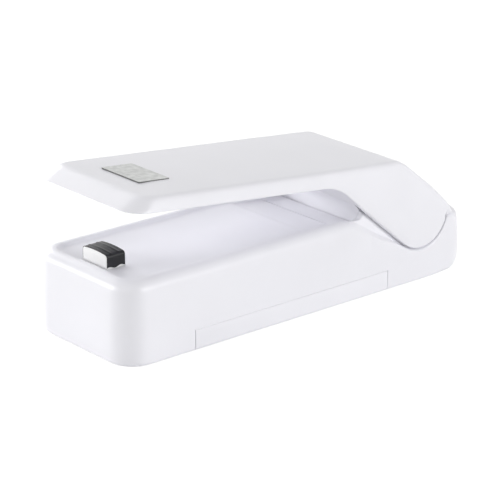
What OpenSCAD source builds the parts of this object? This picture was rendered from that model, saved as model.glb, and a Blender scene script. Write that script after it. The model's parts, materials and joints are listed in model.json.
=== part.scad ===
// Handheld bag sealer: a battery base, a sprung press arm and a small heated head.
// Origin at the middle of the underside. X is the width, +Y points to the hinge, +Z is up.

/* [Base] */
// Length of the base
base_l = 110; // [100:1:140]
// Width of the base
base_w = 37.8; // [36:0.2:50]
// Height of the rim of the base
rim_z = 20.6; // [20:0.2:28]
// Thickness of the outer walls
wall = 1.8; // [1.4:0.1:2.4]
// Plan radius of the corners
corner_r = 7; // [4:0.5:9]
// Thickness of the deck under the dish
deck_t = 1.6; // [1.2:0.1:1.8]
// Depth of the dish below the rim
dish_depth = 0.7; // [0.4:0.1:1]
// Thickness of the bottom cover
cover_t = 1.8; // [1.6:0.1:2.4]
// Height of the rear ledge behind the hinge
ledge_z = 15.3; // [14:0.1:16]

/* [Arm] */
// Distance from the hinge axis to the back of the base
hinge_back = 17; // [15:0.5:20]
// Depth of the hinge axis below the rim
hinge_drop = 3; // [2.5:0.1:4]
// Radius of the hinge barrel on each cheek
barrel_r = 8.8; // [7.5:0.1:9.2]
// Downward swing from open to closed, in degrees
close_angle = 9; // [6:0.5:11]
// Thickness of the arm's skin
skin_t = 1.5; // [1.2:0.1:2]
// Thickness of the liner under the arm
liner_t = 1.2; // [1:0.1:1.4]
// Depth of the liner inside the arm's edge
liner_recess = 0.5; // [0.3:0.1:0.8]
// Slope of the arm's top, in degrees
top_tilt = 5.67; // [4:0.1:7]
// Slope of the arm's lower edge, in degrees
under_tilt = 6.1; // [4.5:0.1:7.5]
// Plan radius of the arm's front corners
nose_r = 5; // [3:0.5:8]
// Radius of the hinge pin
pin_r = 1.5; // [1.2:0.1:2]

/* [Battery bay] */
// Diameter of one cell
cell_d = 14.5; // [10.5:0.1:14.5]
// Length of one cell with its nub
cell_l = 50.5; // [44.5:0.1:50.5]
// Thickness of the battery door
door_t = 1.5; // [1.2:0.1:1.6]
// Height of the door's side panel
door_side_h = 5.3; // [4:0.1:8]
// Length of a compressed battery spring
contact_spring_l = 3.5; // [3:0.1:5]

/* [Sealing head] */
// Width of the heater block across the bag
block_w = 9.2; // [8:0.1:12]
// Depth of the heater block
block_d = 5.4; // [4.5:0.1:7]
// Height of the tape's top above the rim
head_rise = 3.1; // [2:0.1:3.4]
// Travel of the head when it is pressed
head_travel = 1.2; // [0.8:0.1:1.4]
// Thickness of the release tape
tape_t = 0.2; // [0.1:0.05:0.3]
// Radius of the heating wire
wire_r = 0.2; // [0.15:0.05:0.25]

/* [Fits] */
// Gap between shells and the pieces that move past them
gap = 0.35; // [0.3:0.05:0.5]
// Gap between pieces that are fastened together
seat = 0.1; // [0.05:0.05:0.2]
// Radial clearance of the hinge pin
pin_fit = 0.05; // [0.02:0.01:0.08]

/* [Hidden] */
$fn = 64;
over = 1; // how far a cutter runs past what it cuts

half_l = base_l / 2;
half_w = base_w / 2;
inner_w = half_w - wall;
hinge_y = half_l - hinge_back;
hinge_z = rim_z - hinge_drop;
deck_z = rim_z - dish_depth;

// Side outline of the arm, front to back, as [y, z]
elbow = [hinge_y - 28.6, hinge_z + 13.2];
leg_run = [-17.5, 2.8]; // from the hinge axis to the bend in the leg
leg_bend = [hinge_y + leg_run.x, hinge_z + leg_run.y];
leg_touch = atan2(leg_run.y, leg_run.x) + acos(barrel_r / norm(leg_run)); // tangent to the barrel
leg_end = [hinge_y + barrel_r * cos(leg_touch), hinge_z + barrel_r * sin(leg_touch)];
nose_y = -half_l + 2;
nose_low = [nose_y, elbow.y + (elbow.x - nose_y) * tan(under_tilt)];
top_back = [hinge_y - 5.5, hinge_z + 15.3];
nose_top = [nose_y + 4.9, top_back.y + (top_back.x - nose_y - 4.9) * tan(top_tilt)];
knuckle_end = [hinge_y + 12.3, ledge_z + 0.3];
top_path = [nose_low, nose_top, top_back, [hinge_y + 0.1, hinge_z + 9.8],
            [hinge_y + 3.7, hinge_z + 6.5], [hinge_y + 7.3, hinge_z + 4],
            [hinge_y + 11, hinge_z + 0.5], knuckle_end];
under_path = [nose_low, elbow, leg_bend, leg_end];

// Deck: the dish, the ramp down to a lip and a low step that ends in front of the leg's apron
lip = [hinge_y - 25, rim_z - 2.1];
recess_z = rim_z - 2.5;
recess_end = hinge_y - 18.3;
dish_end = hinge_y - 35;

// Apron of the leg, round the hinge axis, so that it stays close to the deck at every angle
leg_front = shifted(under_path, -liner_recess)[2];
apron_r = norm(leg_front - [hinge_y, hinge_z]);
apron_low = recess_z - 0.7;

// Battery bay, counted forward from the bridge contact
contact_t = 0.4;
bay_back = hinge_y - 18.6;
bay_front = bay_back - cell_l - contact_spring_l;
cell_z = door_t + 0.3 + cell_d / 2;
cell_x = cell_d / 2 + 0.05;
tray_in = cell_d + 0.2;
tray_out = tray_in + 0.5;
tray_wall = 1.2;
tray_top = min(cell_z + 5.2, recess_z - deck_t - 1); // under the apron when the arm is closed
nub_l = 1.3;
nub_r = 2.75;

// Hinge lugs stand inside the cheeks, and their inner faces clear the battery tray
lug_out = inner_w;
lug_in = max(inner_w - wall, tray_out + seat);
lug_r = 4.6;
cheek_in = inner_w + 0.3;
socket_x = half_w - 0.7;

// Battery door
door_front = bay_front - 0.3;
door_back = hinge_y - 11.4;
door_left = -tray_in + 0.1;
tongue = 1.2;
lip_t = 0.6;

// Sealing head
head_y = -half_l + 7.9;
head_top = rim_z + head_rise;
block_top = head_top - tape_t - 0.05;
block_r = 1.2;
flange_top = deck_z - deck_t - 0.3;
flange_t = 1.3;
flange_w = block_w / 2 + 1.8;
block_low = flange_top - 3.5;
groove = 2 * wire_r + 0.1;
wire_y = [head_y - 1.1, head_y + 1.1];
terminal_d = 3.4;
terminal_foot = block_low - 0.7;
guide_z = block_low - 4.4;
guide_t = 1.4;
guide_d = 8;
column_in = flange_w + 1.2;
column_out = column_in + 2.8;
switch_z = terminal_foot - head_travel - 0.1;

// Return spring in front of the hinge axis
spring_y = hinge_y - 7.8;
spring_top = hinge_z - 5.7;
spring_r = 2.6;
cup_wall = 0.8;

// Screws
screw_r = 1;
screw_fit = 0.05;
boss_r = 2.4;
front_boss = [half_w - 5.9, head_y + 4];
back_boss = [half_w - 8.9, half_l - 5.5];
arm_screw_r = 0.8;
arm_boss_r = 2.2;
arm_screw_x = half_w - 6.9;
arm_screw_y = [hinge_y - 68, hinge_y - 36];
guide_screw_x = (column_in + column_out) / 2;

// Label plate on the arm
label_size = [14.6, 9.2, 0.3];
label_y = nose_y + 15.5;

// Colours
white = [0.93, 0.93, 0.95];
black = [0.05, 0.05, 0.06];
brass = [0.8, 0.65, 0.3];
steel = [0.7, 0.71, 0.73];

function reversed(list) = [for (i = [len(list) - 1:-1:0]) list[i]];
function side_normal(a, b) = let (d = (b - a) / norm(b - a)) [d.y, -d.x];
function shifted_point(path, i, t) =
    let (last = len(path) - 1,
         before = side_normal(path[max(i, 1) - 1], path[max(i, 1)]),
         after = side_normal(path[min(i, last - 1)], path[min(i, last - 1) + 1]))
    path[i] + t * (before + after) / (1 + before * after);
function shifted(path, t) = [for (i = [0:len(path) - 1]) shifted_point(path, i, t)];
function turned(p, a) = [hinge_y + (p.x - hinge_y) * cos(a) - (p.y - hinge_z) * sin(a),
                         hinge_z + (p.x - hinge_y) * sin(a) + (p.y - hinge_z) * cos(a)];
function top_z(y) = nose_top.y + (nose_top.x - y) * tan(top_tilt);
function under_z(y) = elbow.y + (elbow.x - y) * tan(under_tilt);

// Faces of a tube whose rings of points are numbered from its start
function tube_faces(steps, sides) = concat(
    [for (i = [0:steps - 1], j = [0:sides - 1]) let (k = (j + 1) % sides)
        [i * sides + j, i * sides + k, (i + 1) * sides + k, (i + 1) * sides + j]],
    [[for (j = [sides - 1:-1:0]) j], [for (j = [0:sides - 1]) steps * sides + j]]);

// Extrudes a [y, z] outline along X from x0 to x1
module across(x0, x1) {
    translate([x0, 0, 0]) rotate([90, 0, 90]) linear_extrude(x1 - x0) children();
}

module block(low, high) {
    translate(low) cube(high - low);
}

// Rectangle with round corners, in plan
module round_plan(y0, y1, half, r) {
    translate([-half + r, y0]) square([2 * (half - r), y1 - y0]);
    translate([-half, y0 + r]) square([2 * half, y1 - y0 - 2 * r]);
    for (x = [-1, 1], y = [y0 + r, y1 - r]) translate([x * (half - r), y]) circle(r);
}

module upright(p, r, z0, z1) {
    translate([p.x, p.y, z0]) cylinder(r = r, h = z1 - z0);
}

module crosswise(y, z, r, x0, x1) {
    translate([x0, y, z]) rotate([0, 90, 0]) cylinder(r = r, h = x1 - x0);
}

// Round wire wound into a coil that stands on z = 0
module coil(r, thick, length, turns) {
    sides = 8;
    steps = 18 * turns;
    rings = [for (i = [0:steps]) let (a = 360 * turns * i / steps,
                                      z = thick / 2 + (length - thick) * i / steps)
        for (j = [0:sides - 1]) let (b = 360 * j / sides, rr = r + thick / 2 * cos(b))
            [rr * cos(a), rr * sin(a), z + thick / 2 * sin(b)]];
    polyhedron(rings, tube_faces(steps, sides));
}

// Insulated lead swept along a route of points
module lead(route, r) {
    sides = 8;
    last = len(route) - 1;
    rings = [for (i = [0:last]) let (d = route[min(i + 1, last)] - route[max(i - 1, 0)],
                                     u = cross(d, [1, 0, 0]) / norm(cross(d, [1, 0, 0])),
                                     v = cross(u, d) / norm(d))
        for (j = [0:sides - 1]) route[i] + r * (cos(360 * j / sides) * u + sin(360 * j / sides) * v)];
    polyhedron(rings, tube_faces(last, sides));
}

module screw(p, head_z, head_r, head_h, shank_r, tip_z) {
    upright(p, head_r, head_z, head_z + head_h);
    upright(p, shank_r, head_z, tip_z);
}

// What the arm sweeps through between open and closed, with its gap to the base
module arm_sweep(x0, x1) {
    open = shifted(under_path, gap);
    closed = shifted([for (p = under_path) turned(p, close_angle)], gap);
    across(x0, x1) polygon(concat([closed[1], closed[2], closed[3]],
                                  [[hinge_y + 2, ledge_z], [half_l + over, ledge_z],
                                   [half_l + over, rim_z + over], [closed[1].x, rim_z + 9]]));
    across(x0, x1) polygon([open[2], open[3], [hinge_y, hinge_z], [hinge_y, rim_z + over]]);
    crosswise(hinge_y, hinge_z, barrel_r + gap, x0, x1);
}

module deck() {
    top = [[-half_l + wall / 2, deck_z], [dish_end, deck_z], lip, [lip.x + 0.01, recess_z],
           [recess_end, recess_z]];
    low = [[recess_end, recess_z - 1.2], [lip.x, recess_z - 1.2], [dish_end, deck_z - deck_t],
           [-half_l + wall / 2, deck_z - deck_t]];
    intersection() {
        across(-inner_w - wall / 2, inner_w + wall / 2) polygon(concat(top, low));
        linear_extrude(rim_z) round_plan(-half_l + wall / 2, half_l - wall / 2,
                                         half_w - wall / 2, corner_r - wall / 2);
    }
}

module lug() {
    line = shifted(under_path, -1.2);
    lug_top = rim_z - 0.2;
    reach = line[2] + (lug_top - line[2].y) / (line[3].y - line[2].y) * (line[3] - line[2]);
    polygon([[hinge_y - 22.5, cover_t + seat], [hinge_y - 22.5, lug_top], reach, line[3],
             [hinge_y + lug_r, hinge_z], [hinge_y + lug_r + 3, cover_t + seat]]);
    translate([hinge_y, hinge_z]) circle(lug_r);
}

module base_housing() {
    color(white) difference() {
        union() {
            difference() {
                linear_extrude(rim_z) difference() {
                    round_plan(-half_l, half_l, half_w, corner_r);
                    round_plan(-half_l + wall, half_l - wall, inner_w, corner_r - wall);
                }
                arm_sweep(-half_w - over, half_w + over);
                block([inner_w - over, door_front - 0.15, -over],
                      [half_w + over, door_back + 0.15, door_side_h + 0.15]);
            }
            difference() {
                deck();
                for (x = [-half_w - over, inner_w]) arm_sweep(x, x + wall + over);
            }
            for (x = [-lug_out, lug_in]) across(x, x + lug_out - lug_in) lug();
            block([-inner_w, hinge_y + 8, ledge_z - 1.5], [inner_w, half_l - wall, ledge_z]);
            for (x = [-1, 1]) {
                upright([x * front_boss.x, front_boss.y], boss_r, cover_t + seat, deck_z - 0.5);
                upright([x * back_boss.x, back_boss.y], boss_r, cover_t + seat, ledge_z - 0.5);
            }
        }
        for (x = [-1, 1]) {
            upright([x * front_boss.x, front_boss.y], screw_r + screw_fit, 0, 9.2);
            upright([x * back_boss.x, back_boss.y], screw_r + screw_fit, 0, 9.2);
            upright([x * guide_screw_x, head_y], screw_r - 0.1 + screw_fit, 0, deck_z - 0.7);
        }
        block([-block_w / 2 - tape_t - gap, head_y - block_d / 2 - gap, deck_z - deck_t - over],
              [block_w / 2 + tape_t + gap, head_y + block_d / 2 + gap, deck_z + over]);
        crosswise(hinge_y, hinge_z, pin_r + pin_fit, -half_w, half_w);
    }
}

module bottom_cover() {
    edge = wall + seat;
    color(white) {
        difference() {
            linear_extrude(cover_t) round_plan(-half_l + edge, half_l - edge, half_w - edge,
                                               corner_r - edge);
            block([door_left - 0.2, door_front - 0.15, lip_t], [half_w, door_back + 0.15, 9]);
            block([door_left - 0.2, door_front + tongue - 0.1, -over],
                  [half_w, door_back - tongue + 0.1, lip_t + over]);
            for (x = [-1, 1], p = [front_boss, back_boss]) {
                upright([x * p.x, p.y], screw_r + 0.15, -over, cover_t + over);
                upright([x * p.x, p.y], 2 * screw_r + 0.15, -over, 1);
            }
        }
        upright([0, spring_y], spring_r - 0.9, cover_t - 0.5, cover_t + 2.2);
    }
}

module housing_screws() {
    color(steel) for (x = [-1, 1], p = [front_boss, back_boss])
        screw([x * p.x, p.y], 0.15, 2 * screw_r, 0.8, screw_r, 9);
}

module battery_tray() {
    color(black) difference() {
        block([-tray_out, bay_front - contact_t - tray_wall, cover_t + seat],
              [tray_out, bay_back + contact_t + tray_wall, tray_top]);
        block([-tray_in, bay_front - contact_t, 0], [tray_in, bay_back + contact_t, rim_z]);
    }
}

module cell(x, y0, y1, nub_side) {
    body0 = y0 + (nub_side < 0 ? nub_l : 0);
    body1 = y1 - (nub_side > 0 ? nub_l : 0);
    translate([x, body0, cell_z]) rotate([-90, 0, 0]) cylinder(r = cell_d / 2, h = body1 - body0);
    translate([x, y0, cell_z]) rotate([-90, 0, 0]) cylinder(r = nub_r, h = y1 - y0);
}

module battery_left() {
    y0 = bay_front + contact_spring_l;
    color([0.2, 0.35, 0.25]) cell(-cell_x, y0, y0 + cell_l - 0.02, 1);
}

module battery_right() {
    color([0.2, 0.35, 0.25]) cell(cell_x, bay_front + 0.02, bay_front + cell_l, -1);
}

module battery_springs() {
    length = contact_spring_l - 2 * seat;
    color(steel) for (side = [[-cell_x, bay_front + seat],
                              [cell_x, bay_back - contact_spring_l + seat]])
        translate([side.x, side.y, cell_z]) rotate([-90, 0, 0]) coil(3.2, 0.5, length, 3);
}

// Plate against one cell, with a tab that folds forward over the tray's wall
module terminal(x) {
    tab_y = bay_front - contact_t - tray_wall - 1.3;
    block([x - 4, bay_front - contact_t + 0.02, 4], [x + 4, bay_front, tray_top + seat + contact_t]);
    block([x - 1.5, tab_y, tray_top + seat], [x + 1.5, bay_front, tray_top + seat + contact_t]);
}

module terminal_positive() {
    color(brass) terminal(cell_x);
}

module terminal_negative() {
    color(brass) terminal(-cell_x);
}

module bridge_contact() {
    color(brass) block([-cell_x - 4, bay_back, 4], [cell_x + 4, bay_back + contact_t - 0.02, tray_top - 1]);
}

module head_guide() {
    top = deck_z - deck_t - seat;
    color([0.85, 0.85, 0.86]) difference() {
        union() {
            block([-column_out, head_y - guide_d / 2, guide_z - guide_t],
                  [column_out, head_y + guide_d / 2 + 1.5, guide_z]);
            for (x = [-column_out, column_in])
                block([x, head_y - 2.4, guide_z - 0.5], [x + 2.8, head_y + 2.4, top]);
        }
        for (x = [-1, 1])
            upright([x * guide_screw_x, head_y], screw_r - 0.1 + screw_fit, 0, rim_z);
    }
}

module guide_screws() {
    color(steel) for (x = [-1, 1])
        screw([x * guide_screw_x, head_y], guide_z - guide_t - 0.9, 1.8, 0.85, screw_r - 0.1,
              deck_z - 0.8);
}

module head_springs() {
    color(steel) for (x = [-1, 1]) translate([x * 3, head_y, guide_z + 0.05])
        coil(1.2, 0.3, block_low - guide_z - 0.1, 5);
}

// Bent strip on the guide: a foot under the heater's terminal and a tail for the lead
module switch_contact(side) {
    inner = column_in - 0.05;
    mirror([side < 0 ? 1 : 0, 0, 0]) {
        block([inner - 0.4, head_y - 1.3, guide_z + 0.05], [inner, head_y + 1.3, switch_z]);
        block([inner - 2.4, head_y - 1.3, switch_z - 0.4], [inner, head_y + 1.3, switch_z]);
        block([inner - 2.4, head_y - 1.3, guide_z + 0.05],
              [inner, head_y + guide_d / 2 + 1.4, guide_z + 0.45]);
    }
}

module switch_contact_left() {
    color(brass) switch_contact(-1);
}

module switch_contact_right() {
    color(brass) switch_contact(1);
}

module contact_lead(side) {
    r = 0.6;
    tab_y = bay_front - contact_t - tray_wall - 1.4;
    tail_y = head_y + guide_d / 2;
    tail_z = guide_z + 0.5 + r;
    tab_z = tray_top + seat + contact_t / 2;
    tail_x = column_in - 1.25;
    lead([[side * cell_x, tab_y, tab_z], [side * cell_x, tab_y - 1, tab_z],
          [side * tail_x, tab_y - 2, tail_z], [side * tail_x, tail_y, tail_z]], r);
}

module wire_red() {
    color([0.75, 0.1, 0.1]) contact_lead(1);
}

module wire_black() {
    color(black) contact_lead(-1);
}

module hinge_pin() {
    color(steel) crosswise(hinge_y, hinge_z, pin_r, -socket_x + seat, socket_x - seat);
}

module return_spring() {
    color(steel) translate([0, spring_y, cover_t + seat])
        coil(spring_r, 0.5, spring_top - cover_t - 2 * seat, 6);
}

module arm_shell() {
    outline = concat([elbow, leg_bend, leg_end, [hinge_y, hinge_z],
                      [hinge_y + 5, knuckle_end.y]], reversed(top_path));
    color(white) difference() {
        intersection() {
            union() {
                for (x = [-half_w, cheek_in]) {
                    across(x, x + half_w - cheek_in) polygon(outline);
                    intersection() {
                        crosswise(hinge_y, hinge_z, barrel_r, x, x + half_w - cheek_in);
                        block([-half_w, hinge_y - barrel_r, 0], [half_w, half_l, hinge_z]);
                    }
                }
                across(-cheek_in, cheek_in)
                    polygon(concat(top_path, reversed(shifted(top_path, skin_t))));
                for (x = [-1, 1], y = arm_screw_y)
                    upright([x * arm_screw_x, y], arm_boss_r,
                            under_z(y) + liner_recess + liner_t + 0.4, top_z(y) - skin_t / 2);
            }
            linear_extrude(top_back.y + 20) {
                round_plan(nose_y, half_l, half_w, nose_r);
                translate([-half_w, 0]) square([base_w, half_l]);
            }
        }
        for (x = [-1, 1], y = arm_screw_y)
            upright([x * arm_screw_x, y], arm_screw_r + screw_fit, 0, top_z(y) - 0.7);
        crosswise(hinge_y, hinge_z, pin_r + pin_fit, -socket_x, socket_x);
        label_pocket(0.15, seat);
        block([-half_w - over, hinge_y + barrel_r, 0], [half_w + over, half_l, knuckle_end.y]);
    }
}

// Box of the label, sunk into the arm's top by the depth given
module label_pocket(depth, grow) {
    translate([0, label_y, top_z(label_y)]) rotate([-top_tilt, 0, 0])
        block([-label_size.x / 2 - grow, -label_size.y / 2 - grow, -depth],
              [label_size.x / 2 + grow, label_size.y / 2 + grow, label_size.z - depth]);
}

module label_plate() {
    color([0.72, 0.72, 0.73]) label_pocket(0.14, 0);
}

module arm_liner() {
    low = shifted(under_path, -liner_recess);
    high = shifted(under_path, -liner_recess - liner_t);
    split = (hinge_y - 21 - low[1].x) / (low[2].x - low[1].x);
    low_split = low[1] + split * (low[2] - low[1]);
    high_split = high[1] + split * (high[2] - high[1]);
    front_y = nose_y + 11.4; // behind the press pad
    front_low = [front_y, low[0].y + (low[0].x - front_y) * tan(under_tilt)];
    front_high = [front_y, high[0].y + (high[0].x - front_y) * tan(under_tilt)];
    color(white) difference() {
        union() {
            across(-cheek_in + 0.2, cheek_in - 0.2)
                polygon([front_low, low[1], low_split, high_split, high[1], front_high]);
            across(-lug_in + 0.3, lug_in - 0.3)
                polygon([low_split, low[2], low[3], high[3], high[2], high_split]);
            difference() {
                intersection() {
                    crosswise(hinge_y, hinge_z, apron_r, -lug_in + 0.3, lug_in - 0.3);
                    block([-half_w, 0, apron_low], [half_w, hinge_y - apron_r / 2, leg_front.y]);
                }
                crosswise(hinge_y, hinge_z, apron_r - liner_t, -half_w, half_w);
            }
            intersection() {
                upright([0, spring_y], spring_r + cup_wall, spring_top, hinge_z);
                across(-lug_in, lug_in) polygon([high[2], high[3], [hinge_y, 0], [0, 0]]);
            }
        }
        for (x = [-1, 1], y = arm_screw_y) {
            upright([x * arm_screw_x, y], arm_screw_r + 0.1, 0, rim_z * 3);
            upright([x * arm_screw_x, y], 2 * arm_screw_r + 0.1, 0, under_z(y) + 1.1);
        }
    }
}

module arm_screws() {
    color(steel) for (x = [-1, 1], y = arm_screw_y)
        screw([x * arm_screw_x, y], under_z(y) + 0.5, 2 * arm_screw_r, 0.5, arm_screw_r,
              top_z(y) - 0.9);
}

// Silicone pad in the hollow of the nose, over the head when the arm is closed
module press_pad() {
    clear = 0.35;
    face = turned([head_y, head_top + clear], -close_angle);
    top = top_z(face.x) - skin_t - 0.08;
    color([0.85, 0.87, 0.9]) translate([0, face.x, face.y]) rotate([-top_tilt, 0, 0])
        block([-block_w / 2 - 1.9, -2.7, 0], [block_w / 2 + 1.9, 2.9, top - face.y]);
}

module block_outline(half, top, r) {
    translate([-half, block_low]) square([2 * half, top - r - block_low]);
    translate([-half + r, block_low]) square([2 * (half - r), top - block_low]);
    for (x = [-1, 1]) translate([x * (half - r), top - r]) circle(r);
}

// Extrudes an [x, z] outline along Y about the head's middle
module along_head(depth) {
    translate([0, head_y + depth / 2, 0]) rotate([90, 0, 0]) linear_extrude(depth) children();
}

module heater_block() {
    color(white) difference() {
        union() {
            along_head(block_d) block_outline(block_w / 2, block_top, block_r);
            block([-flange_w, head_y - block_d / 2 - 1.2, flange_top - flange_t],
                  [flange_w, head_y + block_d / 2 + 1.2, flange_top]);
        }
        for (x = [-1, 1]) mirror([x < 0 ? 1 : 0, 0, 0])
            block([block_w / 2, head_y - terminal_d / 2 - 0.2, 0],
                  [block_w / 2 + 0.6, head_y + terminal_d / 2 + 0.2, rim_z]);
        for (y = wire_y) translate([0, y - head_y, 0]) along_head(groove) difference() {
            block_outline(block_w / 2, block_top, block_r);
            block_outline(block_w / 2 - groove, block_top - groove, block_r - groove);
            translate([-block_w, 0]) square([2 * block_w, flange_top - 1.6]);
        }
    }
}

// Two wires bent over the block, in its grooves
module heating_wires() {
    bend = block_r - groove / 2;
    leg_x = block_w / 2 - groove / 2;
    z = block_top - groove / 2;
    color([0.55, 0.5, 0.48]) for (y = wire_y) {
        crosswise(y, z, wire_r, bend - leg_x, leg_x - bend);
        for (side = [0, 1]) mirror([side, 0, 0]) {
            upright([leg_x, y], wire_r, flange_top - 1.5, z - bend);
            translate([leg_x - bend, y, z - bend]) rotate([90, 0, 0])
                rotate_extrude(angle = 90) translate([bend, 0]) circle(wire_r);
        }
    }
}

module ptfe_tape() {
    skirt = deck_z - deck_t + 0.4;
    inner = block_w / 2 + 0.05;
    color(black) intersection() {
        along_head(block_d - 0.2) difference() {
            block_outline(inner + tape_t, block_top + 0.05 + tape_t, block_r + 0.05 + tape_t);
            block_outline(inner, block_top + 0.05, block_r + 0.05);
        }
        block([-half_w, -half_l, skirt], [half_w, half_l, rim_z * 2]);
    }
}

module heater_terminals() {
    inner = block_w / 2 + 0.05;
    color(brass) for (x = [0, 1]) mirror([x, 0, 0]) {
        block([inner, head_y - terminal_d / 2, terminal_foot],
              [inner + 0.4, head_y + terminal_d / 2, flange_top - 0.1]);
        block([inner, head_y - 1.3, terminal_foot], [inner + 2.1, head_y + 1.3, terminal_foot + 0.4]);
    }
}

module battery_door() {
    color(white) {
        block([inner_w, door_front, 0], [half_w, door_back, door_side_h]);
        block([door_left, door_front + tongue, 0], [inner_w, door_back - tongue, door_t]);
        block([door_left, door_front, lip_t + 0.1], [inner_w, door_back, door_t]);
    }
}

base_housing();
bottom_cover();
housing_screws();
battery_tray();
battery_left();
battery_right();
battery_springs();
terminal_positive();
terminal_negative();
bridge_contact();
head_guide();
guide_screws();
head_springs();
switch_contact_left();
switch_contact_right();
wire_red();
wire_black();
hinge_pin();
return_spring();
arm_shell();
arm_liner();
arm_screws();
press_pad();
label_plate();
heater_block();
heating_wires();
ptfe_tape();
heater_terminals();
battery_door();
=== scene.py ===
import json
import math

import bmesh
import bpy
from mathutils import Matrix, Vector


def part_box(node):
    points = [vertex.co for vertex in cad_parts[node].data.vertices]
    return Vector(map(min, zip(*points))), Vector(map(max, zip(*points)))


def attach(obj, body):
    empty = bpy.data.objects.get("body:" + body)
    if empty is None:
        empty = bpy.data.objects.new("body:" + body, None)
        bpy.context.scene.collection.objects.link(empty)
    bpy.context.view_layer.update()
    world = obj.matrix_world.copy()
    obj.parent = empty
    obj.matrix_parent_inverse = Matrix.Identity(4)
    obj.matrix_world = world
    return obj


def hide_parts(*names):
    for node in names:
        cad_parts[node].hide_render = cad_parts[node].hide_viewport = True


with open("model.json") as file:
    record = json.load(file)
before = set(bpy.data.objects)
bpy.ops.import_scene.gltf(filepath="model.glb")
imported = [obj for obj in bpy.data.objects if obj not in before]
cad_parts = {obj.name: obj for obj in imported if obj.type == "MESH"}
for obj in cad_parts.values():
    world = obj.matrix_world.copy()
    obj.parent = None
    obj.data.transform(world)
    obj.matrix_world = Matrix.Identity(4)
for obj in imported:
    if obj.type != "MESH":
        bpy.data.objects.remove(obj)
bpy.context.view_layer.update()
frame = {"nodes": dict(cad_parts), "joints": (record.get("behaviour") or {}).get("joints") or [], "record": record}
mm = 0.001  # the builders below work in millimetres, and newPiece turns them into metres


def nodeBox(node):
    low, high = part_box(node)
    return low / mm, high / mm


# places that every piece shares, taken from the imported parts
baseHigh = nodeBox("base_housing")[1]
armLow, armHigh = nodeBox("arm_shell")
blockLow, blockHigh = nodeBox("heater_block")
doorLow, doorHigh = nodeBox("battery_door")
halfWidth, halfLength = baseHigh.xy
armJoint = next(joint for joint in frame["joints"] if joint["name"] == "arm_hinge")
hinge = Vector(armJoint["pos_m"][1:]) / mm
closeAngle = math.radians(armJoint["range_deg"][1])
rimHeight = hinge.y + 3.0  # the lugs stand higher than the rim, so it isn't the top of the base
barrelRadius = hinge.y - armLow.z
gap = 0.5  # between the base and the arm that moves past it

# side outline of the arm as (y, z), measured from the hinge axis
elbow = hinge + Vector((-28.6, 13.2))
legRun = Vector((-17.5, 3.4))
legBend = hinge + legRun
legTouch = math.atan2(legRun.y, legRun.x) + math.acos(barrelRadius / legRun.length)
legEnd = hinge + barrelRadius * Vector((math.cos(legTouch), math.sin(legTouch)))
underSlope = math.tan(math.radians(6.1))
topSlope = math.tan(math.radians(5.67))


def underHeight(y):
    return elbow.y + (elbow.x - y) * underSlope


noseLow = Vector((armLow.y, underHeight(armLow.y)))


# small helpers for numbers, tables and outlines
def clamp(value, low=0.0, high=1.0):
    return max(low, min(high, value))


def smooth(low, high, value):
    t = clamp((value - low) / (high - low))
    return t * t * (3 - 2 * t)


def valueAt(table, where):
    if where <= table[0][0]:
        return table[0][1]
    for (a, va), (b, vb) in zip(table, table[1:]):
        if where <= b:
            return va + (vb - va) * (where - a) / (b - a) if b > a else vb
    return table[-1][1]


def curveThrough(start, corner, end, steps):
    points = []
    for i in range(steps + 1):
        t = i / steps
        points.append(start * (1 - t) ** 2 + corner * 2 * t * (1 - t) + end * t ** 2)
    return points


def roundedPath(corners, reaches, steps=6):
    path = [corners[0]]
    for before, corner, after, reach in zip(corners, corners[1:], corners[2:], reaches):
        start = corner + (before - corner).normalized() * reach
        end = corner + (after - corner).normalized() * reach
        path += curveThrough(start, corner, end, steps)
    return path + [corners[-1]]


def offsetPath(path, distance):
    moved = []
    for i, point in enumerate(path):
        before = path[max(i, 1)] - path[max(i, 1) - 1]
        after = path[min(i, len(path) - 2) + 1] - path[min(i, len(path) - 2)]
        a = Vector((before.y, -before.x)).normalized()
        b = Vector((after.y, -after.x)).normalized()
        moved.append(point + distance * (a + b) / (1 + a.dot(b)))
    return moved


def arcPath(centre, radius, start, end, steps):
    angles = [start + (end - start) * i / steps for i in range(steps + 1)]
    return [centre + radius * Vector((math.cos(a), math.sin(a))) for a in angles]


def turned(point, angle):
    away = point - hinge
    c, s = math.cos(angle), math.sin(angle)
    return hinge + Vector((away.x * c - away.y * s, away.x * s + away.y * c))


def lengthsAlong(path):
    sums = [0.0]
    for a, b in zip(path, path[1:]):
        sums.append(sums[-1] + (b - a).length)
    return sums


def pointAlong(path, sums, where):
    for i in range(1, len(path)):
        if where <= sums[i] or i == len(path) - 1:
            part = sums[i] - sums[i - 1]
            return path[i - 1].lerp(path[i], clamp((where - sums[i - 1]) / part) if part else 0.0)


def nearestAlong(path, sums, point):
    index = min(range(len(path)), key=lambda i: (path[i] - point).length)
    return sums[index]


# turns points in millimetres into a piece, and says which body carries it and which nodes it stands for
def newPiece(name, points, faces, body, slot, replaced=(), sharpAngle=40):
    mesh = bpy.data.meshes.new(name)
    mesh.from_pydata([tuple(c * mm for c in p) for p in points], [], faces)
    work = bmesh.new()
    work.from_mesh(mesh)
    bmesh.ops.remove_doubles(work, verts=work.verts, dist=0.002 * mm)
    bmesh.ops.recalc_face_normals(work, faces=work.faces)
    work.to_mesh(mesh)
    work.free()
    piece = bpy.data.objects.new(name, mesh)
    bpy.context.scene.collection.objects.link(piece)
    finishShading(piece, sharpAngle)
    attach(piece, body)
    if replaced:
        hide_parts(*replaced)
    return piece


def finishShading(piece, sharpAngle=40):
    for face in piece.data.polygons:
        face.use_smooth = True
    piece.data.set_sharp_from_angle(angle=math.radians(sharpAngle))


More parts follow.
